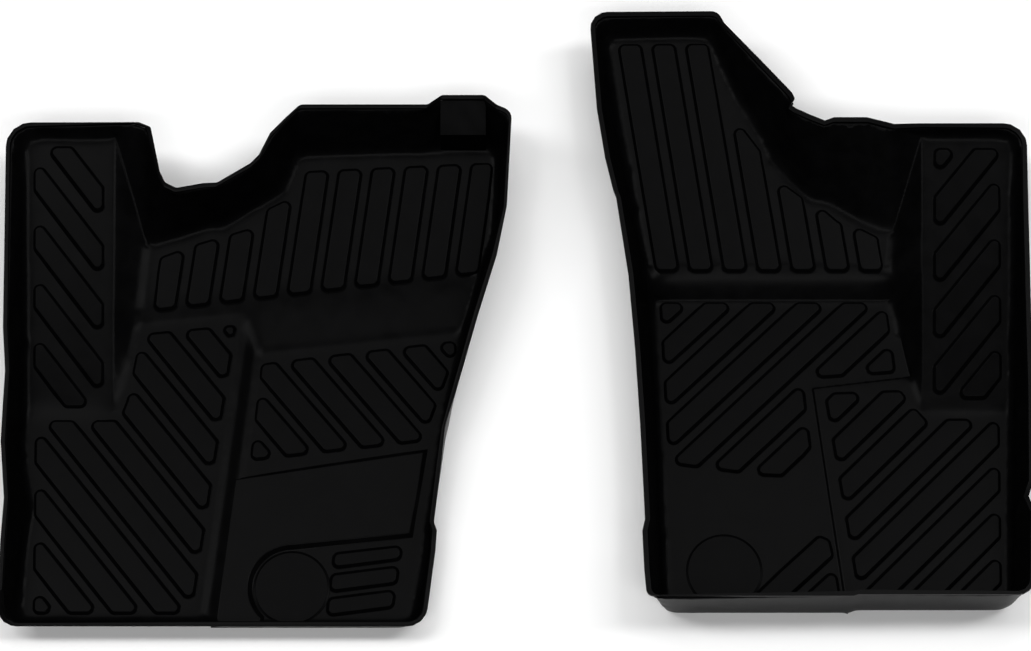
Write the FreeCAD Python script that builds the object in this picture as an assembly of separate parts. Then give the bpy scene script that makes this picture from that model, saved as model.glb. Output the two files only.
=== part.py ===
"""A pair of deep tray floor mats for a cab: one for the driver and one for the front passenger.

Each mat is one rubber moulding. It is modelled as its moulded regions, which meet face to face:
flat floor panels, steps, a sloping toe board, a foot-rest ramp, the side walls, the bead round the
rim, and the raised tread bars. Millimetres. +X is the passenger's side, +Y is the front of the cab
and +Z is up. The origin is under the middle of the pair, on the surface that the mats lie on.
"""

import FreeCAD, Part
import math
import os

Vector = FreeCAD.Vector

# Sheet, rim and tread
SHEET = 4.0
WALL = 4.0
BEAD_WIDTH = 7.0
BEAD_HEIGHT = 5.0
BEAD_LIP = 3.0
STEEP_SHEET = 7.0
BAR_HEIGHT = 5.0
BAR_CORNER = 7.0
SKIRT_UNDER_SLOPE = 10.0
ARC_STEPS = 4

# Slopes, in degrees from level
BAND_SLOPE = 18.0
TOE_SLOPE = 8.0
DRIVER_REST_SLOPE = 11.5
PASSENGER_REST_SLOPE = 14.4

# Floor levels, measured to the upper surface
LOW_FLOOR = SHEET
DRIVER_STEP = 18.0
DRIVER_TOE_RISE = 24.0
PASSENGER_STEP = 4.0
PASSENGER_TOE_RISE = 22.0
HEEL_PAD_HEIGHT = 6.0
RAISED_FLOOR_THICKNESS = 6.0

# The round plaques
PLAQUE_RADIUS = 50.5
PLAQUE_HEIGHT = 2.0
DRIVER_PLAQUE_AT = (-309.0, -366.0)
PASSENGER_PLAQUE_AT = (288.5, -342.0)
GAP_ROUND_PLAQUE = 8.5

# The box in the front right corner of the driver's mat, from side to side
CORNER_BOX_LEFT = -106.0
CORNER_BOX_RIGHT = -42.0

# The whole pair is moved by this much so that the origin is under its middle
CENTRE_SHIFT = Vector(-1.1, -11.0, 0.0)


class Plane:
    """A plane given by its height at one point and its rise per millimetre along X and Y."""

    def __init__(self, height, x=0.0, y=0.0, slope=0.0, heading=90.0):
        rise = math.tan(math.radians(slope))
        self.height = height
        self.x = x
        self.y = y
        self.rise_x = rise * math.cos(math.radians(heading))
        self.rise_y = rise * math.sin(math.radians(heading))

    def at(self, x, y):
        return self.height + self.rise_x * (x - self.x) + self.rise_y * (y - self.y)

    def point(self, x, y, lift=0.0):
        return Vector(x, y, self.at(x, y) + lift)


# ---------------------------------------------------------------- plane geometry


def flat_face(points):
    """A flat face at height zero with the given (x, y) corners."""
    corners = [Vector(x, y, 0) for x, y in points]
    return Part.Face(Part.makePolygon(corners + corners[:1]))


def cleaned(polygon, gap):
    """The polygon without points that lie closer together than gap."""
    kept = []
    for point in polygon:
        if not kept or math.dist(point, kept[-1]) > gap:
            kept.append(point)
    while len(kept) > 1 and math.dist(kept[0], kept[-1]) <= gap:
        kept.pop()
    return kept


def rounded_face(flat, plane, radius):
    """A flat shape with its corners rounded, laid on the plane.

    The shape is shrunk and grown again by the radius, which is less on a small shape.
    """
    across = 2.0 * flat.Area / flat.OuterWire.Length
    reach = min(radius, 0.8 * across)
    outline = flat.makeOffset2D(-reach).makeOffset2D(reach).OuterWire
    corners = [plane.point(v.X, v.Y) for v in outline.OrderedVertexes]
    edges = []
    for i, edge in enumerate(outline.OrderedEdges):
        start, end = corners[i], corners[(i + 1) % len(corners)]
        if edge.Curve.TypeId == "Part::GeomLine":
            edges.append(Part.LineSegment(start, end).toShape())
        else:
            half_way = edge.valueAt((edge.FirstParameter + edge.LastParameter) / 2)
            middle = plane.point(half_way.x, half_way.y)
            edges.append(Part.Arc(start, middle, end).toShape())
    return Part.Face(Part.Wire(edges))


# ---------------------------------------------------------------- solids


def closed_solid(loops):
    """One solid bounded by flat faces, each given as a loop of corner points."""
    faces = []
    for loop in loops:
        points = [p for i, p in enumerate(loop) if p.distanceToPoint(loop[i - 1]) > 1e-6]
        if len(points) > 2:
            faces.append(Part.Face(Part.makePolygon(points + points[:1])))
    solid = Part.makeSolid(Part.makeShell(faces))
    if solid.Volume < 0:
        solid.reverse()
    return solid


def slab(outline, plane, thickness=SHEET):
    """A flat panel with vertical edges, its upper face on the plane."""
    points = [plane.point(x, y) for x, y in outline]
    face = Part.Face(Part.makePolygon(points + points[:1]))
    return face.extrude(Vector(0, 0, -thickness))


def strip(upper, lower, thickness=STEEP_SHEET):
    """A bent panel between two lines with as many points as each other.

    It is made thick downwards, but not to below the ground. The lines may meet at their ends.
    """

    def under(point):
        return Vector(point.x, point.y, max(0.0, point.z - thickness))

    loops = []
    for i in range(len(upper) - 1):
        for face in ([upper[i], upper[i + 1], lower[i + 1]], [upper[i], lower[i + 1], lower[i]]):
            loops.append(face)
            loops.append([under(point) for point in reversed(face)])
    edge = upper + lower[::-1]
    edge = [p for i, p in enumerate(edge) if p.distanceToPoint(edge[i - 1]) > 1e-6]
    for i, point in enumerate(edge):
        before = edge[i - 1]
        loops.append([before, under(before), under(point)])
        loops.append([before, under(point), point])
    return closed_solid(loops)


def points_on_line(start, end, rows):
    """The (x, y) points where the line from start to end crosses each y in rows."""
    return [(start[0] + (end[0] - start[0]) * (y - start[1]) / (end[1] - start[1]), y) for y in rows]


def ring_of_sections(sections, closed):
    """A solid through a row of matching cross-sections, closed into a ring or with flat ends."""
    loops = []
    pairs = list(zip(sections, sections[1:]))
    if closed:
        pairs.append((sections[-1], sections[0]))
    for one, two in pairs:
        count = len(one)
        for i in range(count):
            j = (i + 1) % count
            loops.append([one[i], one[j], two[j]])
            loops.append([one[i], two[j], two[i]])
    if not closed:
        for end in (sections[0], sections[-1]):
            loops.append(list(end))
    return closed_solid(loops)


def prism_along_x(profile, x_start, x_end):
    """A straight bar along X with the given (y, z) profile."""
    points = [Vector(x_start, y, z) for y, z in profile]
    return Part.Face(Part.makePolygon(points + points[:1])).extrude(Vector(x_end - x_start, 0, 0))


def fitted(shape, neighbours):
    """The main piece of the shape that is left when it is trimmed to its neighbours."""
    for neighbour in neighbours:
        shape = shape.cut(neighbour)
    return max(shape.Solids, key=lambda solid: solid.Volume)


def stripes(outline, plane, heading, pitch, width, start, least=450.0, height=BAR_HEIGHT):
    """Raised tread bars: parallel stripes cut off by the outline, as separate solids.

    heading is the direction the bars run in, in degrees from +X. start is how far the first
    stripe's near edge lies from the origin, square to the bars. A piece whose area is under
    least is left out.
    """
    run_x, run_y = math.cos(math.radians(heading)), math.sin(math.radians(heading))
    side_x, side_y = -run_y, run_x
    reaches = [x * side_x + y * side_y for x, y in outline]
    first = math.floor((min(reaches) - start) / pitch)
    last = math.ceil((max(reaches) - start) / pitch)
    runs = [x * run_x + y * run_y for x, y in outline]
    near, far = min(runs) - pitch, max(runs) + pitch
    zone = flat_face(outline)
    bars = []
    for number in range(first, last + 1):
        low = start + number * pitch
        corners = [(near, low), (far, low), (far, low + width), (near, low + width)]
        stripe = flat_face([(r * run_x + s * side_x, r * run_y + s * side_y) for r, s in corners])
        for face in stripe.common(zone).Faces:
            if face.Area > least:
                bars.append(rounded_face(face, plane, BAR_CORNER).extrude(Vector(0, 0, height)))
    return Part.makeCompound(bars)


# ---------------------------------------------------------------- walls


class Station:
    """One upright section of the wall: its outer rim edge, its inner foot, and its lowest point."""

    def __init__(self, rim, foot, bottom):
        self.rim = rim
        self.foot = foot
        reach = math.hypot(foot.x - rim.x, foot.y - rim.y)
        self.inward = Vector((foot.x - rim.x) / reach, (foot.y - rim.y) / reach, 0)
        self.bottom = bottom

    def wall_section(self):
        under_bead = self.rim - Vector(0, 0, BEAD_HEIGHT)
        foot_outer = self.foot - self.inward * WALL
        return [
            under_bead + self.inward * BEAD_LIP,
            under_bead + self.inward * (BEAD_LIP + WALL),
            self.foot,
            Vector(self.foot.x, self.foot.y, self.bottom),
            Vector(foot_outer.x, foot_outer.y, self.bottom),
        ]

    def bead_section(self):
        inner = self.rim + self.inward * BEAD_WIDTH
        down = Vector(0, 0, -BEAD_HEIGHT)
        return [self.rim, inner, inner + down, self.rim + down]


def arc_points(before, corner, after, radius):
    """Points along the arc that rounds a corner of a 3-D line, in equal steps."""
    to_before = (before - corner).normalize()
    to_after = (after - corner).normalize()
    half = to_before.getAngle(to_after) / 2
    shorter = min(before.distanceToPoint(corner), after.distanceToPoint(corner))
    cut = min(radius / math.tan(half), 0.45 * shorter)
    start = corner + to_before * cut
    end = corner + to_after * cut
    centre = corner + (to_before + to_after).normalize() * (cut / math.cos(half))
    points = []
    for step in range(ARC_STEPS + 1):
        share = step / ARC_STEPS
        chord = start + (end - start) * share
        spoke = (chord - centre).normalize()
        points.append(centre + spoke * centre.distanceToPoint(start))
    return points


def stations(corners, planes):
    """The wall's sections all the way round.

    Each corner is (name, rim x, rim y, rim z, foot x, foot y, plane, radius of the rim corner,
    radius of the foot corner). The name is empty, or names the run of wall that starts there.
    """
    rims = [Vector(c[1], c[2], c[3]) for c in corners]
    feet = [planes[c[6]].point(c[4], c[5]) for c in corners]
    rows = []
    starts = {}
    for i, corner in enumerate(corners):
        after = (i + 1) % len(corners)
        if corner[0]:
            starts[corner[0]] = len(rows)
        rim_line = [rims[i]]
        foot_line = [feet[i]]
        if corner[7]:
            rim_line = arc_points(rims[i - 1], rims[i], rims[after], corner[7])
            foot_line = arc_points(feet[i - 1], feet[i], feet[after], corner[8])
        on_ground = corner[6] in ("low", "high")
        for rim, foot in zip(rim_line, foot_line):
            bottom = 0.0 if on_ground else max(0.0, foot.z - SKIRT_UNDER_SLOPE)
            rows.append(Station(rim, foot, bottom))
    return rows, starts


def feet_between(rows, first, last):
    """The foot corners from one section to another, each once, as (x, y)."""
    picked = rows[first : last + 1] if first <= last else rows[first:] + rows[: last + 1]
    return cleaned([(s.foot.x, s.foot.y) for s in picked], gap=0.01)


def wall_runs(prefix, rows, starts):
    """A solid for each named run of wall, and the bead round the whole rim."""
    names = sorted(starts, key=starts.get)
    bead = ring_of_sections([s.bead_section() for s in rows], closed=True)
    parts = {prefix + "rim_bead": bead}
    for i, name in enumerate(names):
        begin = starts[name]
        end = starts[names[(i + 1) % len(names)]]
        span = rows[begin : end + 1] if begin < end else rows[begin:] + rows[: end + 1]
        wall = ring_of_sections([s.wall_section() for s in span], closed=False)
        parts[prefix + name] = fitted(wall, [bead])
    return parts


# ---------------------------------------------------------------- driver's mat

# The creases across the driver's mat are parallel. They are placed by the distance along and square
# to the lowest crease, from its end at the step.
CREASE_X = -363.4
CREASE_Y = -23.5
CREASE_HEADING = 6.1
BAND_START_TO_HIGH_FLOOR = DRIVER_STEP / math.tan(math.radians(BAND_SLOPE))
BAND_LENGTH = DRIVER_TOE_RISE / math.tan(math.radians(BAND_SLOPE))
DRIVER_RAMP_FOOT_Y = -117.0


def on_crease(along, square):
    turn = math.radians(CREASE_HEADING)
    x = CREASE_X + along * math.cos(turn) - square * math.sin(turn)
    y = CREASE_Y + along * math.sin(turn) + square * math.cos(turn)
    return x, y


def driver_planes():
    high = LOW_FLOOR + DRIVER_STEP
    up_hill = CREASE_HEADING + 90.0
    toe_x, toe_y = on_crease(0.0, BAND_LENGTH)
    return {
        "low": Plane(LOW_FLOOR),
        "high": Plane(high),
        "band": Plane(LOW_FLOOR, CREASE_X, CREASE_Y, BAND_SLOPE, up_hill),
        "toe": Plane(LOW_FLOOR + DRIVER_TOE_RISE, toe_x, toe_y, TOE_SLOPE, up_hill),
        "rest": Plane(high, 0.0, DRIVER_RAMP_FOOT_Y, DRIVER_REST_SLOPE),
    }


def driver_corners():
    """The rim and the foot of the wall, clockwise from the rear left corner.

    The columns are those that stations() reads.
    """
    band_foot = on_crease(295.0, 0.0)
    band_top = on_crease(326.0, BAND_LENGTH)
    return [
        ("left_wall", -705, -431, 50, -684, -420, "high", 26, 12),
        ("", -702, -392, 88, -682, -385, "high", 0, 0),
        ("", -701, -322, 95, -678, -315, "high", 0, 0),
        ("", -699, -262, 95, -673, -257, "high", 0, 0),
        ("", -707, -181, 97, -688, -182, "high", 0, 0),
        ("ramp_foot", -706, -117, 99, -686, DRIVER_RAMP_FOOT_Y, "high", 0, 0),
        ("", -705, -81, 101, -687, -81, "rest", 0, 0),
        ("", -710, -20, 106, -688, -20, "rest", 0, 0),
        ("front_wall", -717, 279, 124, -694, 267, "rest", 34, 16),
        ("ramp_top", -530, 279, 125, -566, 267, "rest", 0, 0),
        ("", -513, 271, 127, -566, 267, "rest", 0, 0),
        ("toe_corner", -497, 200, 136, -521, 124, "toe", 0, 0),
        ("", -489, 183, 138, -508, 129, "toe", 0, 0),
        ("", -473, 174, 140, -480, 138, "toe", 0, 0),
        ("", -436, 181, 140, -427, 156, "toe", 0, 0),
        ("", -417, 182, 140, -417, 152, "toe", 0, 0),
        ("", -371, 211, 140, -363, 187, "toe", 0, 0),
        ("", -359, 224, 140, -350, 193, "toe", 0, 0),
        ("", -344, 257, 140, -332, 204, "toe", 0, 0),
        ("", -322, 281, 140, -322, 230, "toe", 0, 0),
        ("", -303, 300, 140, -314, 256, "toe", 12, 8),
        ("", -123, 300, 140, -130, 263, "toe", 0, 0),
        ("", -104, 321, 124, -110, 264, "toe", 6, 3),
        ("", -44, 321, 124, -50, 266, "toe", 6, 3),
        ("", -27, 299, 142, -38, 267, "toe", 0, 0),
        ("right_wall", -5, 290, 140, -22, 264, "toe", 20, 6),
        ("", -12, 153, 128, -28, 140, "toe", 0, 0),
        ("band_top", -26, 83, 118, band_top[0], band_top[1], "toe", 0, 0),
        ("band_foot", -52, 0, 103, band_foot[0], band_foot[1], "low", 0, 0),
        ("", -82, -105, 85, -92, -105, "low", 0, 0),
        ("", -97, -153, 78, -101, -156, "low", 0, 0),
        ("", -103, -211, 68, -108, -211, "low", 0, 0),
        ("", -112, -286, 58, -119, -286, "low", 0, 0),
        ("", -108, -296, 52, -119, -296, "low", 0, 0),
        ("", -110, -325, 50, -122, -325, "low", 0, 0),
        ("rear_lip", -123, -431, 50, -137, -420, "low", 28, 14),
        ("step_low", -405, -431, 50, -405, -420, "low", 0, 0),
        ("step_high", -428, -431, 50, -428, -420, "high", 0, 0),
    ]


def driver_heel_pad(low, step):
    """The raised heel pad, whose rear edge curves round the plaque, and the plaque."""
    plaque = Vector(*DRIVER_PLAQUE_AT, low.height)
    reach = PLAQUE_RADIUS + GAP_ROUND_PLAQUE

    def around(angle):
        turn = math.radians(angle)
        return plaque + Vector(reach * math.cos(turn), reach * math.sin(turn), 0)

    start, middle, end = around(94.0), around(160.0), around(226.0)
    corners = [low.point(x, y) for x, y in
               ((-413.5, -420), (-391.5, -211), (-127, -170), (-146, -290))]
    rear = Vector(end.x, -420.0, low.height)
    edges = [Part.LineSegment(a, b).toShape() for a, b in zip(corners, corners[1:] + [start])]
    edges.append(Part.Arc(start, middle, end).toShape())
    edges.append(Part.LineSegment(end, rear).toShape())
    edges.append(Part.LineSegment(rear, corners[0]).toShape())
    pad = fitted(Part.Face(Part.Wire(edges)).extrude(Vector(0, 0, HEEL_PAD_HEIGHT)), [step])
    disc = Part.makeCylinder(PLAQUE_RADIUS, PLAQUE_HEIGHT, plaque)
    return pad, disc


def driver_corner_box(front_wall, toe_board, bead):
    """A block with a gently sloping top and an upright face, in the corner of the front wall.

    Its profile runs from the rim down to the toe board, as (y, z).
    """
    profile = [(313, 120), (266, 108), (263, 48), (268, 48)]
    block = prism_along_x(profile, CORNER_BOX_LEFT, CORNER_BOX_RIGHT)
    return fitted(block, [front_wall, toe_board, bead])


def driver_mat():
    planes = driver_planes()
    rows, labels = stations(driver_corners(), planes)
    runs = {n: labels[n] for n in ("left_wall", "front_wall", "right_wall", "rear_lip")}
    parts = wall_runs("driver_", rows, runs)

    # The corners inside the outline, where floor panels, steps and slopes meet
    step_top = on_crease(-11.0, BAND_START_TO_HIGH_FLOOR)
    step_foot = on_crease(0.0, 0.0)
    side_band = on_crease(-160.0, BAND_LENGTH)
    side_high = on_crease(-165.5, BAND_START_TO_HIGH_FLOOR)
    side_line = [(-543, -50), (-552, -84), (-563, DRIVER_RAMP_FOOT_Y)]

    def feet(first, last):
        return feet_between(rows, labels[first], labels[last])

    high_floor = feet("step_high", "ramp_foot") + side_line[::-1] + [side_high, step_top]
    low_floor = [step_foot] + feet("band_foot", "step_low")
    toe_board = feet("toe_corner", "band_top") + [side_band]
    band = [side_high, side_band, feet("band_top", "band_top")[0], feet("band_foot", "band_foot")[0],
            step_foot, step_top]
    rest_top = feet("ramp_top", "ramp_top")[0]
    toe_corner = feet("toe_corner", "toe_corner")[0]
    side_rows = [y for _, y in [toe_corner, side_band, side_high] + side_line[:-1]]
    rest_edge = points_on_line(rest_top, side_line[-1], side_rows) + [side_line[-1]]
    rest = feet("ramp_foot", "ramp_top") + rest_edge
    parts["driver_low_floor"] = slab(low_floor, planes["low"])
    parts["driver_high_floor"] = slab(high_floor, planes["high"])
    parts["driver_toe_board"] = slab(toe_board, planes["toe"])
    parts["driver_slope_band"] = slab(band, planes["band"])
    parts["driver_foot_rest"] = slab(rest, planes["rest"])

    upper = [planes["rest"].point(x, y) for x, y in [rest_top] + rest_edge]
    lower = [planes["toe"].point(x, y) for x, y in (toe_corner, toe_corner, side_band)]
    lower += [planes["high"].point(x, y) for x, y in [side_high] + side_line]
    parts["driver_foot_rest_side"] = strip(upper, lower)

    step_low_rear = feet("step_low", "step_low")[0]
    step_high_rear = feet("step_high", "step_high")[0]
    parts["driver_floor_step"] = strip(
        [planes["high"].point(*step_top), planes["high"].point(*step_high_rear)],
        [planes["low"].point(*step_foot), planes["low"].point(*step_low_rear)])

    pad, disc = driver_heel_pad(planes["low"], parts["driver_floor_step"])
    parts["driver_heel_pad"] = pad
    parts["driver_round_plaque"] = disc
    parts["driver_corner_box"] = driver_corner_box(
        parts["driver_front_wall"], parts["driver_toe_board"], parts["driver_rim_bead"])

    # Where the tread bars may lie
    toe_zone = [(-508, 32), (-502, 105), (-452, 124), (-370, 149), (-351, 176), (-323, 190),
                (-296, 230), (-33, 244), (-49, 88)]
    high_zone = [(-669, -131), (-552, -131), (-542, -101), (-527, -4), (-396, 9), (-446, -406),
                 (-660, -406)]
    low_zone = [(-357, -42), (-85, -8), (-85, -24), (-131, -153), (-369, -181)]
    rest_zone = [(-678, 250), (-620, 250), (-582, 198), (-578, -110), (-672, -110)]
    heel_zone = [(-250, -318), (-158, -307), (-170, -394), (-259, -407)]
    parts["driver_toe_board_bars"] = stripes(
        toe_zone, planes["toe"], heading=82.2, pitch=46.3, width=29.6, start=64.2)
    parts["driver_high_floor_bars"] = stripes(
        high_zone, planes["high"], heading=-51.0, pitch=46.1, width=29.8, start=-731.0, least=150)
    parts["driver_low_floor_bars"] = stripes(
        low_zone, planes["low"], heading=-49.9, pitch=44.4, width=29.0, start=-357.6, least=150)
    parts["driver_foot_rest_bars"] = stripes(
        rest_zone, planes["rest"], heading=-51.5, pitch=49.7, width=26.9, start=-411.5, least=900)
    parts["driver_heel_bars"] = stripes(
        heel_zone, planes["low"], heading=7.5, pitch=33.2, width=22.0, start=-367.4, least=900)
    return parts


# ---------------------------------------------------------------- passenger's mat

PASSENGER_BAND_Y = 56.0
PASSENGER_TOE_Y = 78.0
PASSENGER_RAMP_FOOT_Y = -112.0


def passenger_planes():
    raised = LOW_FLOOR + PASSENGER_STEP
    return {
        "low": Plane(LOW_FLOOR),
        "high": Plane(raised),
        "toe": Plane(LOW_FLOOR + PASSENGER_TOE_RISE, 0.0, PASSENGER_TOE_Y, TOE_SLOPE),
        "rest": Plane(raised, 0.0, PASSENGER_RAMP_FOOT_Y, PASSENGER_REST_SLOPE),
    }


def passenger_corners():
    """The rim and the foot of the wall, clockwise from the rear left corner.

    The columns are those that stations() reads.
    """
    return [
        ("left_wall", 177, -406, 116, 206, -400, "low", 10, 8),
        ("", 174, -369, 116, 204, -366, "low", 0, 0),
        ("", 172, -314, 115, 203, -314, "low", 0, 0),
        ("", 176, -297, 111, 202, -297, "low", 0, 0),
        ("", 171, -161, 109, 199, -161, "low", 0, 0),
        ("", 165, -49, 109, 195, -49, "low", 0, 0),
        ("band_foot_left", 157, 56, 111, 191, PASSENGER_BAND_Y, "low", 0, 0),
        ("toe_left", 154, 78, 111, 187, PASSENGER_TOE_Y, "toe", 0, 0),
        ("", 141, 171, 112, 170, 164, "toe", 0, 0),
        ("", 137, 182, 112, 168, 176, "toe", 0, 0),
        ("", 126, 231, 112, 159, 231, "toe", 0, 0),
        ("", 115, 305, 112, 146, 302, "toe", 0, 0),
        ("front_wall", 105, 453, 113, 127, 428, "toe", 24, 6),
        ("", 288, 453, 116, 283, 433, "toe", 16, 6),
        ("", 297, 434, 118, 297, 392, "toe", 0, 0),
        ("", 352, 366, 129, 324, 334, "toe", 0, 0),
        ("", 389, 320, 135, 358, 280, "toe", 0, 0),
        ("", 393, 310, 137, 361, 274, "toe", 0, 0),
        ("", 387, 300, 138, 364, 261, "toe", 0, 0),
        ("", 393, 295, 138, 370, 252, "toe", 0, 0),
        ("", 412, 285, 139, 393, 223, "toe", 0, 0),
        ("", 434, 275, 140, 421, 192, "toe", 0, 0),
        ("", 447, 280, 140, 441, 193, "toe", 0, 0),
        ("", 493, 280, 140, 500, 158, "toe", 0, 0),
        ("", 520, 275, 135, 513, 152, "toe", 0, 0),
        ("toe_corner", 532, 273, 132, 535, 145, "toe", 0, 0),
        ("ramp_top", 566, 276, 127, 573, 266, "rest", 0, 0),
        ("right_wall", 719, 277, 125, 706, 266, "rest", 32, 16),
        ("", 717, 160, 118, 702, 160, "rest", 0, 0),
        ("", 714, -40, 108, 699, -40, "rest", 0, 0),
        ("ramp_foot", 713, -112, 106, 697, PASSENGER_RAMP_FOOT_Y, "high", 0, 0),
        ("", 708, -240, 105, 690, -240, "high", 0, 0),
        ("", 699, -264, 108, 688, -264, "high", 0, 0),
        ("", 707, -288, 114, 687, -288, "high", 0, 0),
        ("rear_wall", 700, -404, 116, 682, -397, "high", 24, 12),
        ("step_high", 462, -404, 116, 462, -397, "high", 0, 0),
        ("step_low", 456, -406, 116, 456, -400, "low", 0, 0),
    ]


def passenger_mat():
    planes = passenger_planes()
    rows, labels = stations(passenger_corners(), planes)
    runs = {n: labels[n] for n in ("left_wall", "front_wall", "right_wall", "rear_wall")}
    parts = wall_runs("passenger_", rows, runs)

    # The corners inside the outline, where floor panels, steps and slopes meet
    band_right = (530, PASSENGER_BAND_Y)
    toe_right = (527, PASSENGER_TOE_Y)
    panel_start = (557, -60)
    panel_corner = (418, -77)
    ramp_start = (571, PASSENGER_RAMP_FOOT_Y)
    side_middle = (544, 0)

    def feet(first, last):
        return feet_between(rows, labels[first], labels[last])

    toe_board = feet("toe_left", "toe_corner") + [toe_right]
    band = feet("band_foot_left", "toe_left") + [toe_right, band_right]
    low_floor = feet("step_low", "band_foot_left") + [band_right, side_middle, panel_start, panel_corner]
    rest_top = feet("ramp_top", "ramp_top")[0]
    toe_corner = feet("toe_corner", "toe_corner")[0]
    side_line = [toe_corner, toe_right, band_right, side_middle, panel_start]
    rest_edge = points_on_line(rest_top, ramp_start, [y for _, y in side_line]) + [ramp_start]
    rest = feet("ramp_top", "ramp_foot") + rest_edge[::-1]
    raised_floor = feet("ramp_foot", "step_high") + feet("step_low", "step_low")
    raised_floor += [panel_corner, panel_start, ramp_start]
    parts["passenger_low_floor"] = slab(low_floor, planes["low"])
    parts["passenger_raised_floor"] = slab(raised_floor, planes["high"], RAISED_FLOOR_THICKNESS)
    parts["passenger_toe_board"] = slab(toe_board, planes["toe"])
    parts["passenger_foot_rest"] = slab(rest, planes["rest"])

    parts["passenger_step_band"] = strip(
        [planes["toe"].point(*band[1]), planes["toe"].point(*band[2])],
        [planes["low"].point(*band[0]), planes["low"].point(*band[3])])
    upper = [planes["rest"].point(x, y) for x, y in [rest_top] + rest_edge]
    lower = [planes["toe"].point(x, y) for x, y in (toe_corner, toe_corner, toe_right)]
    lower += [planes["low"].point(x, y) for x, y in (band_right, side_middle)]
    lower += [planes["high"].point(x, y) for x, y in (panel_start, ramp_start)]
    parts["passenger_foot_rest_side"] = strip(upper, lower)
    plaque = Vector(*PASSENGER_PLAQUE_AT, LOW_FLOOR)
    parts["passenger_round_plaque"] = Part.makeCylinder(PLAQUE_RADIUS, PLAQUE_HEIGHT, plaque)

    # Where the tread bars may lie
    toe_zone = [(148, 417), (278, 418), (300, 305), (322, 297), (351, 258), (362, 229), (382, 213),
                (405, 196), (437, 177), (456, 160), (490, 149), (519, 134), (519, 91), (199, 91)]
    low_zone = [(206, 50), (524, 50), (533, -52), (421, -60), (401, -60), (404, -83), (411, -163),
                (377, -204), (345, -203), (224, -187), (214, -150)]
    raised_zone = [(436, -87), (540, -83), (573, -125), (676, -125), (668, -388), (476, -388)]
    rest_zone = [(592, 246), (681, 246), (680, -93), (588, -93)]
    small_zone = [(322, -386), (419, -292), (434, -299), (439, -324), (447, -386)]
    parts["passenger_toe_board_bars"] = stripes(
        toe_zone, planes["toe"], heading=-81.1, pitch=47.7, width=30.0, start=210.9)
    parts["passenger_low_floor_bars"] = stripes(
        low_zone, planes["low"], heading=43.6, pitch=45.05, width=28.9, start=-358.2, least=300)
    parts["passenger_raised_floor_bars"] = stripes(
        raised_zone, planes["high"], heading=44.4, pitch=46.0, width=29.0, start=-449.7, least=300)
    parts["passenger_foot_rest_bars"] = stripes(
        rest_zone, planes["rest"], heading=49.5, pitch=49.4, width=30.1, start=-411.9, least=150)
    parts["passenger_small_bars"] = stripes(
        small_zone, planes["low"], heading=42.5, pitch=48.5, width=32.0, start=-532.4, least=150)
    return parts


# ---------------------------------------------------------------- output


def main():
    os.makedirs("parts", exist_ok=True)
    parts = {**driver_mat(), **passenger_mat()}
    for name, shape in parts.items():
        shape.translate(CENTRE_SHIFT)
        shape.exportStep(os.path.join("parts", name + ".step"))
        print(name, "solids", len(shape.Solids), "valid", shape.isValid(), "volume", round(shape.Volume))
    box = FreeCAD.BoundBox()
    for shape in parts.values():
        box.add(shape.BoundBox)
    print("size", round(box.XLength, 1), round(box.YLength, 1), round(box.ZLength, 1))
    print("middle", round(box.Center.x, 2), round(box.Center.y, 2), "lowest", round(box.ZMin, 3))


main()
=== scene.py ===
"""Looks for the pair of cab floor mats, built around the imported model.

Each mat is one rubber moulding, so its floor and wall regions are joined here into one sheet with
rounded creases. The tread bars, pads and discs get rounded tops and a fillet at their foot, and the
rim keeps its shape with rounded edges. Lengths are in metres.
"""

import math

import bmesh
import bpy
import numpy as np
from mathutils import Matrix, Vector, kdtree
from mathutils.geometry import delaunay_2d_cdt


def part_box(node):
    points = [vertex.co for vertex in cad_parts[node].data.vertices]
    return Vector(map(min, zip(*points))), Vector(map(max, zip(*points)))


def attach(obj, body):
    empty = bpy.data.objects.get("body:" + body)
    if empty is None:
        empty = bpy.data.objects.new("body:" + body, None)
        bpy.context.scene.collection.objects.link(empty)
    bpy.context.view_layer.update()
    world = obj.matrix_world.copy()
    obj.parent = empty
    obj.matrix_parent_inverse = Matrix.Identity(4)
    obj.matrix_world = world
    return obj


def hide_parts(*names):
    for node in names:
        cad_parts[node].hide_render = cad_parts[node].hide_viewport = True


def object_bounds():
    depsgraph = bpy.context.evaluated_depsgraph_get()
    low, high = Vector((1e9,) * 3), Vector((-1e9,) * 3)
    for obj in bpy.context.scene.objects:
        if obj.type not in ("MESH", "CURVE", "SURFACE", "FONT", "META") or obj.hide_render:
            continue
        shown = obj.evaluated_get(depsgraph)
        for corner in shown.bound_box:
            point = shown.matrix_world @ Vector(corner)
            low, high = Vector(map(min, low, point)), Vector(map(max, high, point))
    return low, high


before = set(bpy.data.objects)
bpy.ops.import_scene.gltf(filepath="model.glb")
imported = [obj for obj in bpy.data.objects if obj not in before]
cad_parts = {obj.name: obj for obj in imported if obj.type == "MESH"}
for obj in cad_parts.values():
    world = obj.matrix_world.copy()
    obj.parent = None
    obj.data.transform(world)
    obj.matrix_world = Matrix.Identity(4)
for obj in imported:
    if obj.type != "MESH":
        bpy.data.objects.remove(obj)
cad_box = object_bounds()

MM = 0.001

# The moulded sheet: its thickness, and how close two places are to count as one
SHEET = 4.0 * MM
SAME_PLACE = 0.01 * MM
WELD = 0.2 * MM

# Which faces of the CAD regions belong to the sheet: the upward part of a floor face's normal, the
# inward part of a wall face's, and the rise of an edge over its length that makes it a stray fin
FLOOR_UPWARD = 0.02
WALL_INWARD = -0.3
FIN_SLOPE = 0.8

# Upright faces are added between floor panels this far apart in height, and small holes are filled
# below this share of the mat's height
GAP_LOW = 1.0 * MM
GAP_HIGH = 10.0 * MM
HOLES_BELOW = 0.3
HOLE_SIDES = 6

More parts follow.
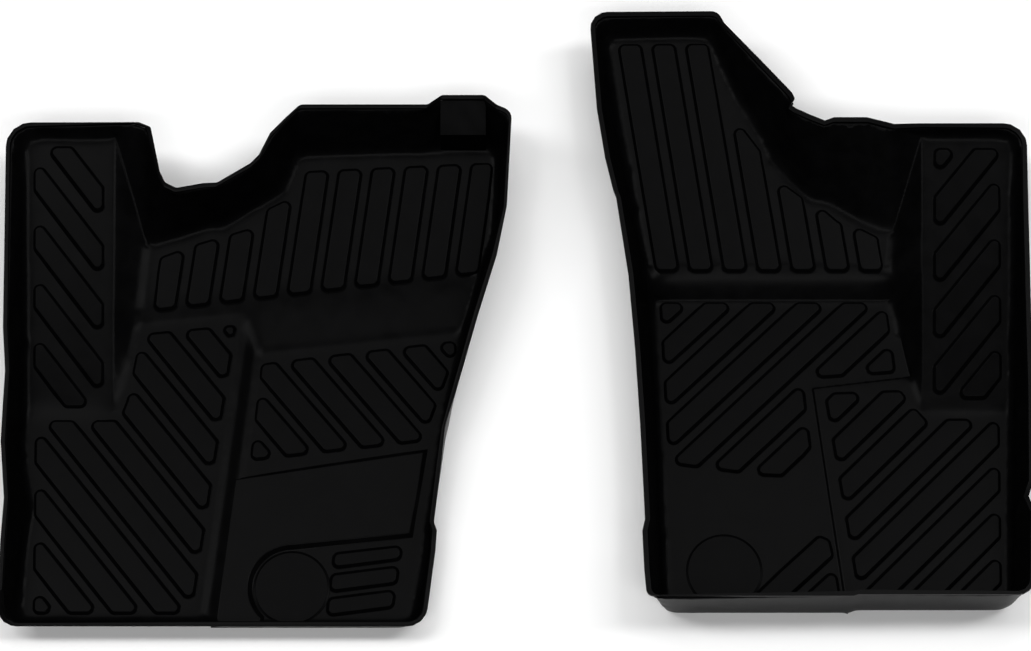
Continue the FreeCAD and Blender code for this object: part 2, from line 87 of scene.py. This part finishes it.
# How finely the sheet is divided: closely beside sharp creases, and more coarsely, by doubling,
# away from them
FLAT_ANGLE = math.radians(3.0)
SHARP_ANGLE = math.radians(14.0)
FINE_STEP = 2.4 * MM
GENTLE_STEP = 6.0 * MM
RIM_STEP = 8.0 * MM
EVEN_STEPS = 4.0
STEP_GROWTH = 0.5
COARSE_LEVELS = 4
COARSE_ENOUGH = 0.7
CLEAR_OF_BORDER = 0.6
SAME_IN_PLANE = 1e-7

# The fillets: each pass moves a point this share of the way to the middle of its neighbours. The
# faces of small steps and the ridge and fold at a foot rest hardly move.
ROUNDING_PASSES = 40
ROUNDING_SHARE = 0.5
CRISP_SHARE = 0.012
SMALL_STEP = 8.0 * MM
UPRIGHT = 0.1
STEEP_UPWARD = 0.88
FOLD_ANGLE = math.radians(25.0)
SOFT_PASSES = 300
SOFT_REACH = 20.0 * MM

# Raised features: height, radius of the fillet at the foot, radius of the top edge, and how far
# the side leans out
BAR = (5.0 * MM, 2.2 * MM, 2.0 * MM, 1.5 * MM)
HEEL_PAD = (6.0 * MM, 1.8 * MM, 2.0 * MM, 2.0 * MM)
DISC = (2.0 * MM, 0.8 * MM, 0.9 * MM, 2.0 * MM)
ROUND_STEPS = 3
# The heel pad's edge is this many times as wide at the rear and on the right
HEEL_PAD_SOFT = 1.6
# Each feature's foot goes this far out and down, into the sheet
SKIRT_OUT = 0.4 * MM
SKIRT_DOWN = 0.35 * MM
# At a sharp corner the edge is at most this many times as wide as along a side
MOST_STRETCH = 1.6
# How far upward a face has to look to belong to a feature's top
TOP_UPWARD = 0.5

# The edges of the CAD nodes that stay as they are
RIM_ROUNDING = 2.2 * MM
CORNER_BOX_ROUNDING = 3.0 * MM
ROUNDING_ANGLE = math.radians(28.0)

# The camera looks from behind the mats, high up
CAMERA_ELEVATION = math.radians(71.0)
CAMERA_DISTANCE = 5.0
CAMERA_TARGET = Vector((-0.0011, -0.011, 0.055))
CAMERA_LENS = 124.7
CAMERA_SENSOR = 36.0

# The pale floor, just under the mats
FLOOR_SIZE = 12.0
FLOOR_GAP = 0.5 * MM
FLOOR_PAINT = 0.86

# Soft lights: name, place, size and power. The air around them is dim, so steep sides go dark.
AIR_STRENGTH = 0.06
SOFTBOXES = (
    ("overhead_softbox", (0.0, 1.6, 6.6), (5.0, 3.0), 149.0),
    ("left_softbox", (-3.2, 0.5, 5.8), (1.0, 3.6), 159.0),
    ("right_softbox", (3.2, 0.5, 5.8), (1.0, 3.6), 159.0),
    ("rear_softbox", (0.0, -2.9, 5.8), (4.5, 1.0), 159.0),
)


# ---------------------------------------------------------------- materials


def rubber(name, colour, roughness, specular, grain_size, grain_height):
    """Black moulded rubber: a fine leather-like grain, a faint mottle and uneven gloss.

    The mottle varies the colour by a fifth and the roughness by 0.05 either way.
    """
    material = bpy.data.materials.new(name)
    material.use_nodes = True
    nodes = material.node_tree.nodes
    links = material.node_tree.links
    shader = nodes["Principled BSDF"]
    shader.inputs["Specular IOR Level"].default_value = specular
    place = nodes.new("ShaderNodeTexCoord")

    mottle = nodes.new("ShaderNodeTexNoise")
    mottle.inputs["Scale"].default_value = 45.0
    mottle.inputs["Detail"].default_value = 6.0
    tint = nodes.new("ShaderNodeValToRGB")
    tint.color_ramp.elements[0].position = 0.35
    tint.color_ramp.elements[0].color = [c * 0.8 for c in colour] + [1.0]
    tint.color_ramp.elements[1].position = 0.65
    tint.color_ramp.elements[1].color = [c * 1.2 for c in colour] + [1.0]
    gloss = nodes.new("ShaderNodeMapRange")
    gloss.inputs["To Min"].default_value = roughness - 0.05
    gloss.inputs["To Max"].default_value = roughness + 0.05

    pebbles = nodes.new("ShaderNodeTexVoronoi")
    pebbles.feature = "F1"
    pebbles.inputs["Scale"].default_value = 1.0 / grain_size
    creases = nodes.new("ShaderNodeTexNoise")
    creases.inputs["Scale"].default_value = 2.2 / grain_size
    creases.inputs["Detail"].default_value = 3.0
    grain = nodes.new("ShaderNodeMath")
    grain.operation = "MULTIPLY_ADD"
    grain.inputs[1].default_value = 0.5
    bump = nodes.new("ShaderNodeBump")
    bump.inputs["Strength"].default_value = 0.35
    bump.inputs["Distance"].default_value = grain_height

    for texture in (mottle, pebbles, creases):
        links.new(place.outputs["Object"], texture.inputs["Vector"])
    links.new(mottle.outputs["Fac"], tint.inputs["Fac"])
    links.new(tint.outputs["Color"], shader.inputs["Base Color"])
    links.new(mottle.outputs["Fac"], gloss.inputs["Value"])
    links.new(gloss.outputs["Result"], shader.inputs["Roughness"])
    links.new(creases.outputs["Fac"], grain.inputs[0])
    links.new(pebbles.outputs["Distance"], grain.inputs[2])
    links.new(grain.outputs["Value"], bump.inputs["Height"])
    links.new(bump.outputs["Normal"], shader.inputs["Normal"])
    return material


SKIN = rubber("mat_skin_rubber", (0.0012, 0.0012, 0.0013), 0.30, 0.021, 1.3 * MM, 0.10 * MM)
TREAD = rubber("tread_bar_rubber", (0.0010, 0.0010, 0.0011), 0.30, 0.019, 1.0 * MM, 0.06 * MM)
RIM = rubber("rim_bead_rubber", (0.0015, 0.0015, 0.0016), 0.34, 0.030, 1.2 * MM, 0.05 * MM)


def dress(thing, material):
    """Puts one material on every slot of a CAD node."""
    for place in thing.material_slots:
        place.link = "OBJECT"
        place.material = material


# ---------------------------------------------------------------- mesh helpers


def node_mesh(name):
    """A working copy of a CAD node's mesh, with its split corners joined again."""
    work = bmesh.new()
    work.from_mesh(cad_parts[name].data)
    bmesh.ops.remove_doubles(work, verts=work.verts, dist=SAME_PLACE)
    work.normal_update()
    return work


def new_piece(name, work, material, body):
    """A visible object from a working mesh, riding on a body."""
    mesh = bpy.data.meshes.new(name)
    work.to_mesh(mesh)
    work.free()
    mesh.shade_smooth()
    piece = bpy.data.objects.new(name, mesh)
    bpy.context.scene.collection.objects.link(piece)
    mesh.materials.append(material)
    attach(piece, body)
    return piece


def even_normals(piece):
    """Keeps large faces flat in the light, so only the narrow rounded faces shade smoothly."""
    even = piece.modifiers.new("even_normals", "WEIGHTED_NORMAL")
    even.weight = 100


# ---------------------------------------------------------------- the moulded sheet


def joined(parts):
    """Several working meshes as one, welded where they meet."""
    whole = bmesh.new()
    for part in parts:
        mesh = bpy.data.meshes.new("region")
        part.to_mesh(mesh)
        part.free()
        whole.from_mesh(mesh)
        bpy.data.meshes.remove(mesh)
    bmesh.ops.remove_doubles(whole, verts=whole.verts, dist=WELD)
    return whole


def floor_faces(name):
    """The upper faces of a floor region."""
    work = node_mesh(name)
    for face in [f for f in work.faces if f.normal.z < FLOOR_UPWARD]:
        work.faces.remove(face)
    return work


def outline_inward(floor):
    """For each place on the outline of the floor: the way to the middle of the tray from there."""
    places = []
    ways = []
    for v in floor.verts:
        edges = [e for e in v.link_edges if len(e.link_faces) == 1]
        way = Vector()
        for edge in edges:
            along = (edge.verts[1].co - edge.verts[0].co).normalized()
            inside = edge.link_faces[0].calc_center_median() - edge.verts[0].co
            way += (inside - along * inside.dot(along)).normalized()
        if edges:
            places.append(v.co.copy())
            ways.append(Vector((way.x, way.y, 0.0)).normalized())
    tree = kdtree.KDTree(len(places))
    for i, place in enumerate(places):
        tree.insert(place, i)
    tree.balance()
    return tree, ways


def wall_faces(name, tree, ways):
    """The inner faces of a wall: they stand on the outline of the floor and face the middle."""
    work = node_mesh(name)
    for face in list(work.faces):
        feet = [tree.find(v.co) for v in face.verts]
        standing = [(place, ways[i]) for place, i, away in feet if away < WELD]
        upper = [v for v, (_, _, away) in zip(face.verts, feet) if away >= WELD]
        keep = False
        if standing and upper:
            way = sum((w for _, w in standing), Vector())
            rises = min(v.co.z for v in upper) - max(place.z for place, _ in standing)
            keep = rises > SHEET and face.normal.dot(way.normalized()) > WALL_INWARD
        if not keep:
            work.faces.remove(face)
    return work


def drop_fins(work):
    """Removes the faces that hang from one edge of the sheet, left from where two walls meet."""
    fins = []
    for edge in work.edges:
        rise = abs(edge.verts[0].co.z - edge.verts[1].co.z)
        if len(edge.link_faces) == 1 and rise > FIN_SLOPE * edge.calc_length():
            face = edge.link_faces[0]
            if face not in fins and any(len(e.link_faces) > 2 for e in face.edges):
                fins.append(face)
    bmesh.ops.delete(work, geom=fins, context="FACES")


def upright_line(v):
    """Names the upright line through a point, to the tenth of a millimetre."""
    return round(v.co.x, 4), round(v.co.y, 4)


def close_gaps(work):
    """Adds the small upright faces where one floor panel stands above the next."""
    bmesh.ops.delete(work, geom=[e for e in work.edges if not e.link_faces], context="EDGES")
    bmesh.ops.delete(work, geom=[v for v in work.verts if not v.link_faces], context="VERTS")
    open_edges = [e for e in work.edges if len(e.link_faces) == 1]
    corners = {}
    for v in dict.fromkeys(v for e in open_edges for v in e.verts):
        corners.setdefault(upright_line(v), []).append(v)
    for edge in open_edges:
        below = []
        for v in edge.verts:
            stack = corners[upright_line(v)]
            below += [w for w in stack if GAP_LOW < v.co.z - w.co.z < GAP_HIGH]
        if len(below) == 2 and work.edges.get(below):
            work.faces.new((edge.verts[0], edge.verts[1], below[1], below[0]))
    below_rim = max(v.co.z for v in work.verts) * HOLES_BELOW
    gaps = [e for e in work.edges if len(e.link_faces) == 1]
    gaps = [e for e in gaps if max(v.co.z for v in e.verts) < below_rim]
    bmesh.ops.holes_fill(work, edges=gaps, sides=HOLE_SIDES)
    bmesh.ops.recalc_face_normals(work, faces=work.faces)
    if sum(f.normal.z * f.calc_area() for f in work.faces) < 0:
        bmesh.ops.reverse_faces(work, faces=work.faces)


def flat_patches(sheet):
    """The faces in groups that lie flat together, with a crease between one group and the next."""
    waiting = dict.fromkeys(sheet.faces)
    patches = []
    while waiting:
        group = [next(iter(waiting))]
        del waiting[group[0]]
        for face in group:
            for edge in face.edges:
                for other in edge.link_faces:
                    if other in waiting and other.normal.angle(group[0].normal) < FLAT_ANGLE:
                        del waiting[other]
                        group.append(other)
        patches.append(group)
    return patches


def edge_spacing(edge):
    """How finely the mesh is divided along an edge of the sheet."""
    if len(edge.link_faces) != 2:
        return RIM_STEP
    return FINE_STEP if edge.calc_face_angle(0.0) > SHARP_ANGLE else GENTLE_STEP


def stays_crisp(edge, side_box):
    """Whether an edge is the ridge over the side of the foot rest, or the fold beside it.

    side_box is the (lowest, highest) corner of that side's box.
    """
    low, high = side_box
    if len(edge.link_faces) != 2:
        return False
    for place in (v.co for v in edge.verts):
        if not (low.x - WELD < place.x < high.x + WELD and low.y - WELD < place.y < high.y + WELD):
            return False
    steep = [face.normal.z < STEEP_UPWARD for face in edge.link_faces]
    if edge.is_convex:
        return any(steep) and not all(steep)
    return all(steep) and edge.calc_face_angle(0.0) > FOLD_ANGLE


def distances(points, start, end):
    """The distance of each 2-D point from a line segment."""
    along = end - start
    share = np.clip((points - start) @ along / max(along @ along, 1e-12), 0.0, 1.0)
    return np.linalg.norm(points - start - share[:, None] * along, axis=1)


def inner_points(triangles, borders):
    """Points inside a flat patch, close together near its creases and further apart elsewhere.

    triangles holds (2-D corners, 3-D corners) and borders (start, end, spacing). Each point comes
    back as its 2-D and its 3-D place.
    """
    corners = np.concatenate([flat for flat, _ in triangles])
    low, high = corners.min(0), corners.max(0)
    across = int((high[0] - low[0]) / FINE_STEP) + 1
    up = int((high[1] - low[1]) / FINE_STEP) + 1
    column, row = np.meshgrid(np.arange(1, across), np.arange(1, up), indexing="ij")
    column, row = column.ravel(), row.ravel()
    spots = low + np.stack([column, row], axis=1) * FINE_STEP
    level = np.zeros(len(spots), int)
    for step in range(1, COARSE_LEVELS + 1):
        level[(column % 2**step == 0) & (row % 2**step == 0)] = step
    nearest = np.full(len(spots), 1.0)
    wanted = np.full(len(spots), 1.0)
    for start, end, spacing in borders:
        away = distances(spots, start, end)
        nearest = np.minimum(nearest, away / spacing)
        beyond = np.maximum(0.0, away - EVEN_STEPS * spacing)
        wanted = np.minimum(wanted, spacing + STEP_GROWTH * beyond)
    coarse = FINE_STEP * 2.0**level
    keep = (coarse > COARSE_ENOUGH * wanted) | (level == COARSE_LEVELS)
    keep &= nearest > CLEAR_OF_BORDER
    spots = spots[keep]
    places = np.full((len(spots), 3), np.nan)
    for flat, solid in triangles:
        matrix = np.array([flat[1] - flat[0], flat[2] - flat[0]]).T
        if abs(np.linalg.det(matrix)) < 1e-12:
            continue
        share = np.linalg.solve(matrix, (spots - flat[0]).T).T
        inside = (share >= -1e-6).all(1) & (share.sum(1) <= 1 + 1e-6)
        places[inside] = solid[0] + share[inside] @ (solid[1:] - solid[0])
    found = ~np.isnan(places[:, 0])
    return spots[found], places[found]


def fine_mesh(sheet, side_box):
    """The sheet as small even triangles: the places of the points, the faces, and crisp points.

    The crisp points are those of the small steps and of the foot rest's ridge and fold.
    """
    places = []
    corner_at = {}
    for v in sheet.verts:
        corner_at[v] = len(places)
        places.append(np.array(v.co))
    chain_of = {}
    crisp = set()
    for edge in sheet.edges:
        start, end = (np.array(v.co) for v in edge.verts)
        pieces = max(1, round(edge.calc_length() / edge_spacing(edge)))
        middle = [start + (end - start) * i / pieces for i in range(1, pieces)]
        first = len(places)
        places += middle
        ends = [corner_at[v] for v in edge.verts]
        chain_of[edge] = [ends[0], *range(first, first + len(middle)), ends[1]]
        if stays_crisp(edge, side_box):
            crisp.update(chain_of[edge])
    faces = []
    for patch in flat_patches(sheet):
        normal = sum((f.normal * f.calc_area() for f in patch), Vector()).normalized()
        across = normal.orthogonal().normalized()
        axes = np.array([across, normal.cross(across)])
        group = set(patch)
        triangles = []
        borders = []
        used = []
        links = []
        for face in patch:
            solid = np.array([v.co for v in face.verts])
            for i in range(1, len(solid) - 1):
                corner = solid[[0, i, i + 1]]
                triangles.append((corner @ axes.T, corner))
        for edge in dict.fromkeys(e for f in patch for e in f.edges):
            if len(edge.link_faces) == 2 and all(f in group for f in edge.link_faces):
                continue
            chain = chain_of[edge]
            used += chain
            links += list(zip(chain, chain[1:]))
            start, end = (places[v] @ axes.T for v in (chain[0], chain[-1]))
            borders.append((start, end, edge_spacing(edge)))
        used = list(dict.fromkeys(used))
        spots, solid_places = inner_points(triangles, borders)
        heights = [v.co.z for f in patch for v in f.verts]
        if abs(normal.z) < UPRIGHT and max(heights) - min(heights) < SMALL_STEP:
            crisp.update(used)
            crisp.update(range(len(places), len(places) + len(spots)))
        index_of = {v: i for i, v in enumerate(used)}
        flat = [Vector(places[v] @ axes.T) for v in used] + [Vector(spot) for spot in spots]
        names = used + list(range(len(places), len(places) + len(spots)))
        places += list(solid_places)
        fixed = [(index_of[a], index_of[b]) for a, b in links]
        _, _, cells, sources, _, _ = delaunay_2d_cdt(flat, fixed, [], 1, SAME_IN_PLANE)
        for cell in cells:
            source = [sources[v] for v in cell]
            if all(source):
                faces.append([names[s[0]] for s in source])
    return np.array(places), faces, sorted(crisp)


def round_creases(places, faces, share, passes):
    """Averages each point with its neighbours, which turns each crease into a fillet."""
    ring = np.array(faces)
    sides = np.concatenate([ring[:, [0, 1]], ring[:, [1, 2]], ring[:, [2, 0]]])
    pairs, uses = np.unique(np.sort(sides, axis=1), axis=0, return_counts=True)
    size = len(places)
    count = np.maximum(1, np.bincount(pairs.ravel(), minlength=size))[:, None]
    fixed = np.zeros(size, bool)
    fixed[pairs[uses == 1].ravel()] = True
    for _ in range(passes):
        total = np.zeros_like(places)
        for axis in range(3):
            total[:, axis] = np.bincount(pairs[:, 0], places[pairs[:, 1], axis], size)
            total[:, axis] += np.bincount(pairs[:, 1], places[pairs[:, 0], axis], size)
        moved = (1.0 - share) * places + share * total / count
        places = np.where(fixed[:, None], places, moved)
    return places


def soft_shares(places, node):
    """A share for each point: only those of a sloping region and its upper edge move."""
    low, high = (np.array(corner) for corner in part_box(node))
    inside = (places[:, 0] > low[0]) & (places[:, 0] < high[0])
    inside &= (places[:, 1] > low[1]) & (places[:, 1] < high[1] + SOFT_REACH)
    inside &= places[:, 2] < high[2] + SOFT_REACH / 2
    return np.where(inside, ROUNDING_SHARE, 0.0)[:, None]


def tray_skin(body, regions, walls):
    """One mat's sheet, in place of its floor and wall regions."""
    floor = joined([floor_faces(name) for name in regions])
    tree, ways = outline_inward(floor)
    sheet = joined([floor] + [wall_faces(name, tree, ways) for name in walls])
    drop_fins(sheet)
    close_gaps(sheet)
    sheet.normal_update()
    side = next(name for name in regions if name.endswith("foot_rest_side"))
    places, faces, crisp = fine_mesh(sheet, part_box(side))
    sheet.free()
    share = np.full((len(places), 1), ROUNDING_SHARE)
    share[crisp] = CRISP_SHARE
    places = round_creases(places, faces, share, ROUNDING_PASSES)
    for node in regions:
        if node in SOFT_SLOPES:
            places = round_creases(places, faces, soft_shares(places, node), SOFT_PASSES)
    mesh = bpy.data.meshes.new("rounded")
    mesh.from_pydata([tuple(p) for p in places], [], faces)
    smooth = bmesh.new()
    smooth.from_mesh(mesh)
    bpy.data.meshes.remove(mesh)
    bmesh.ops.delete(smooth, geom=[v for v in smooth.verts if not v.link_faces], context="VERTS")
    piece = new_piece(body + "_tray", smooth, SKIN, body)
    thick = piece.modifiers.new("thickness", "SOLIDIFY")
    thick.thickness = SHEET
    thick.offset = -1.0
    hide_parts(*regions, *walls)


# ---------------------------------------------------------------- raised features


def outlines(work):
    """The ordered outline and the plane of each separate raised top in a node."""
    tops = dict.fromkeys(f for f in work.faces if f.normal.z > TOP_UPWARD)
    found = []
    while tops:
        group = [next(iter(tops))]
        del tops[group[0]]
        for face in group:
            for edge in face.edges:
                for other in edge.link_faces:
                    if other in tops:
                        del tops[other]
                        group.append(other)
        largest = max(group, key=lambda f: f.calc_area())
        rim = {}
        for face in group:
            for loop in face.loops:
                if not all(f in group for f in loop.edge.link_faces):
                    rim[loop.vert] = loop.link_loop_next.vert
        start = next(iter(rim))
        line = [start]
        while rim[line[-1]] is not start:
            line.append(rim[line[-1]])
        found.append(([v.co.copy() for v in line], largest.normal.copy(), largest.verts[0].co.copy()))
    return found


def feature_profile(height, foot_radius, top_radius, lean):
    """(outset, height) from the fillet at the foot up to the edge of the flat top."""
    rows = [(lean + foot_radius + SKIRT_OUT, -SKIRT_DOWN)]
    for i in range(ROUND_STEPS + 1):
        turn = math.pi / 2 * i / ROUND_STEPS
        outset = lean + foot_radius * (1 - math.sin(turn))
        rows.append((outset, foot_radius * (1 - math.cos(turn))))
    for i in range(ROUND_STEPS + 1):
        turn = math.pi / 2 * i / ROUND_STEPS
        rows.append((top_radius * (math.cos(turn) - 1), height - top_radius * (1 - math.sin(turn))))
    return rows


def raise_feature(work, line, normal, point, shape, rear, soft=1.0):
    """Adds one raised feature: rings of the outline, and a flat top.

    Nothing reaches further back than rear, inside the rear wall. The edge is soft times as wide
    where it faces the rear or the right.
    """
    flat = [Vector((p.x, p.y)) for p in line]
    count = len(flat)
    outward = []
    for i in range(count):
        before = (flat[i] - flat[i - 1]).normalized()
        after = (flat[(i + 1) % count] - flat[i]).normalized()
        middle = (before + after).normalized()
        stretch = 1.0 / max(1.0 / MOST_STRETCH, middle.dot(after))
        outward.append(Vector((middle.y, -middle.x)) * stretch)
    rings = []
    for outset, height in feature_profile(*shape):
        ring = []
        for spot, away in zip(flat, outward):
            facing = max(0.0, away.normalized().x, -away.normalized().y)
            widen = 1.0 + (soft - 1.0) * facing
            x, y = spot + away * outset * widen
            y = max(y, rear)
            top = point.z - (normal.x * (x - point.x) + normal.y * (y - point.y)) / normal.z
            ring.append(work.verts.new((x, y, top - shape[0] + height)))
        rings.append(ring)
    for lower, upper in zip(rings, rings[1:]):
        for i in range(count):
            j = (i + 1) % count
            work.faces.new((lower[i], lower[j], upper[j], upper[i]))
    work.faces.new(rings[-1])


def raised(node, shape, material, body, soft=1.0):
    """All the raised features of one CAD node, as one piece."""
    source = node_mesh(node)
    work = bmesh.new()
    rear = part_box(node.split("_")[0] + "_low_floor")[0].y - SHEET / 2
    for line, normal, point in outlines(source):
        raise_feature(work, line, normal, point, shape, rear, soft)
    source.free()
    piece = new_piece(node + "_moulded", work, material, body)
    even_normals(piece)
    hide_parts(node)


def rounded_node(node, width, material):
    """A CAD node kept as it is, with its edges rounded."""
    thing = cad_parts[node]
    weld = thing.modifiers.new("weld", "WELD")
    weld.merge_threshold = SAME_PLACE
    bevel = thing.modifiers.new("rounding", "BEVEL")
    bevel.width = width
    bevel.segments = 3
    bevel.limit_method = "ANGLE"
    bevel.angle_limit = ROUNDING_ANGLE
    even_normals(thing)
    dress(thing, material)
    for face in thing.data.polygons:
        face.use_smooth = True


# ---------------------------------------------------------------- stage


def area_light(name, place, target, size, power):
    """A rectangular soft light at a place, turned to its target."""
    light = bpy.data.lights.new(name, "AREA")
    light.shape = "RECTANGLE"
    light.size, light.size_y = size
    light.energy = power
    lamp = bpy.data.objects.new(name, light)
    lamp.location = place
    lamp.rotation_euler = (target - place).to_track_quat("-Z", "Y").to_euler()
    bpy.context.scene.collection.objects.link(lamp)


def studio():
    """A pale floor, a dim surround, four large softboxes and a camera."""
    work = bmesh.new()
    bmesh.ops.create_grid(work, x_segments=1, y_segments=1, size=FLOOR_SIZE)
    mesh = bpy.data.meshes.new("studio_floor")
    work.to_mesh(mesh)
    work.free()
    floor = bpy.data.objects.new("studio_floor", mesh)
    floor.location.z = cad_box[0].z - FLOOR_GAP
    bpy.context.scene.collection.objects.link(floor)
    paint = bpy.data.materials.new("studio_floor_paint")
    paint.use_nodes = True
    shader = paint.node_tree.nodes["Principled BSDF"]
    shader.inputs["Base Color"].default_value = (FLOOR_PAINT, FLOOR_PAINT, FLOOR_PAINT, 1.0)
    shader.inputs["Roughness"].default_value = 0.9
    shader.inputs["Specular IOR Level"].default_value = 0.1
    mesh.materials.append(paint)

    world = bpy.data.worlds.new("studio_air")
    world.use_nodes = True
    air = world.node_tree.nodes["Background"]
    air.inputs["Color"].default_value = (1.0, 1.0, 1.0, 1.0)
    air.inputs["Strength"].default_value = AIR_STRENGTH
    bpy.context.scene.world = world

    centre = (cad_box[0] + cad_box[1]) / 2
    for name, place, size, power in SOFTBOXES:
        area_light(name, Vector(place), centre, size, power)

    camera = bpy.data.objects.new("camera", bpy.data.cameras.new("camera"))
    camera.data.lens = CAMERA_LENS
    camera.data.sensor_width = CAMERA_SENSOR
    back = Vector((0.0, -math.cos(CAMERA_ELEVATION), math.sin(CAMERA_ELEVATION)))
    camera.location = CAMERA_TARGET + back * CAMERA_DISTANCE
    camera.rotation_euler = (-back).to_track_quat("-Z", "Y").to_euler()
    bpy.context.scene.collection.objects.link(camera)
    bpy.context.scene.camera = camera
    bpy.context.scene.view_settings.view_transform = "Standard"


# ---------------------------------------------------------------- the two mats


# The CAD regions that each mat's sheet takes the place of, without the mat's own prefix
FLOORS = {
    "driver_mat": ("low_floor", "high_floor", "toe_board", "slope_band", "foot_rest",
                   "foot_rest_side", "floor_step"),
    "passenger_mat": ("low_floor", "raised_floor", "toe_board", "foot_rest", "step_band",
                      "foot_rest_side"),
}
WALLS = {
    "driver_mat": ("left_wall", "front_wall", "right_wall", "rear_lip"),
    "passenger_mat": ("left_wall", "front_wall", "right_wall", "rear_wall"),
}
# Slopes that are rounded with many more passes than the rest
SOFT_SLOPES = ("passenger_step_band",)


def finish_mat(body):
    """Everything that is seen of one mat."""
    prefix = body.split("_")[0] + "_"
    tray_skin(body, [prefix + n for n in FLOORS[body]], [prefix + n for n in WALLS[body]])
    rounded_node(prefix + "rim_bead", RIM_ROUNDING, RIM)
    raised(prefix + "round_plaque", DISC, TREAD, body)
    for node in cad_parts:
        if node.startswith(prefix) and node.endswith("_bars"):
            raised(node, BAR, TREAD, body)
    if prefix + "heel_pad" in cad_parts:
        raised(prefix + "heel_pad", HEEL_PAD, SKIN, body, HEEL_PAD_SOFT)
    if prefix + "corner_box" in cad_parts:
        rounded_node(prefix + "corner_box", CORNER_BOX_ROUNDING, SKIN)


studio()
for mat in FLOORS:
    finish_mat(mat)
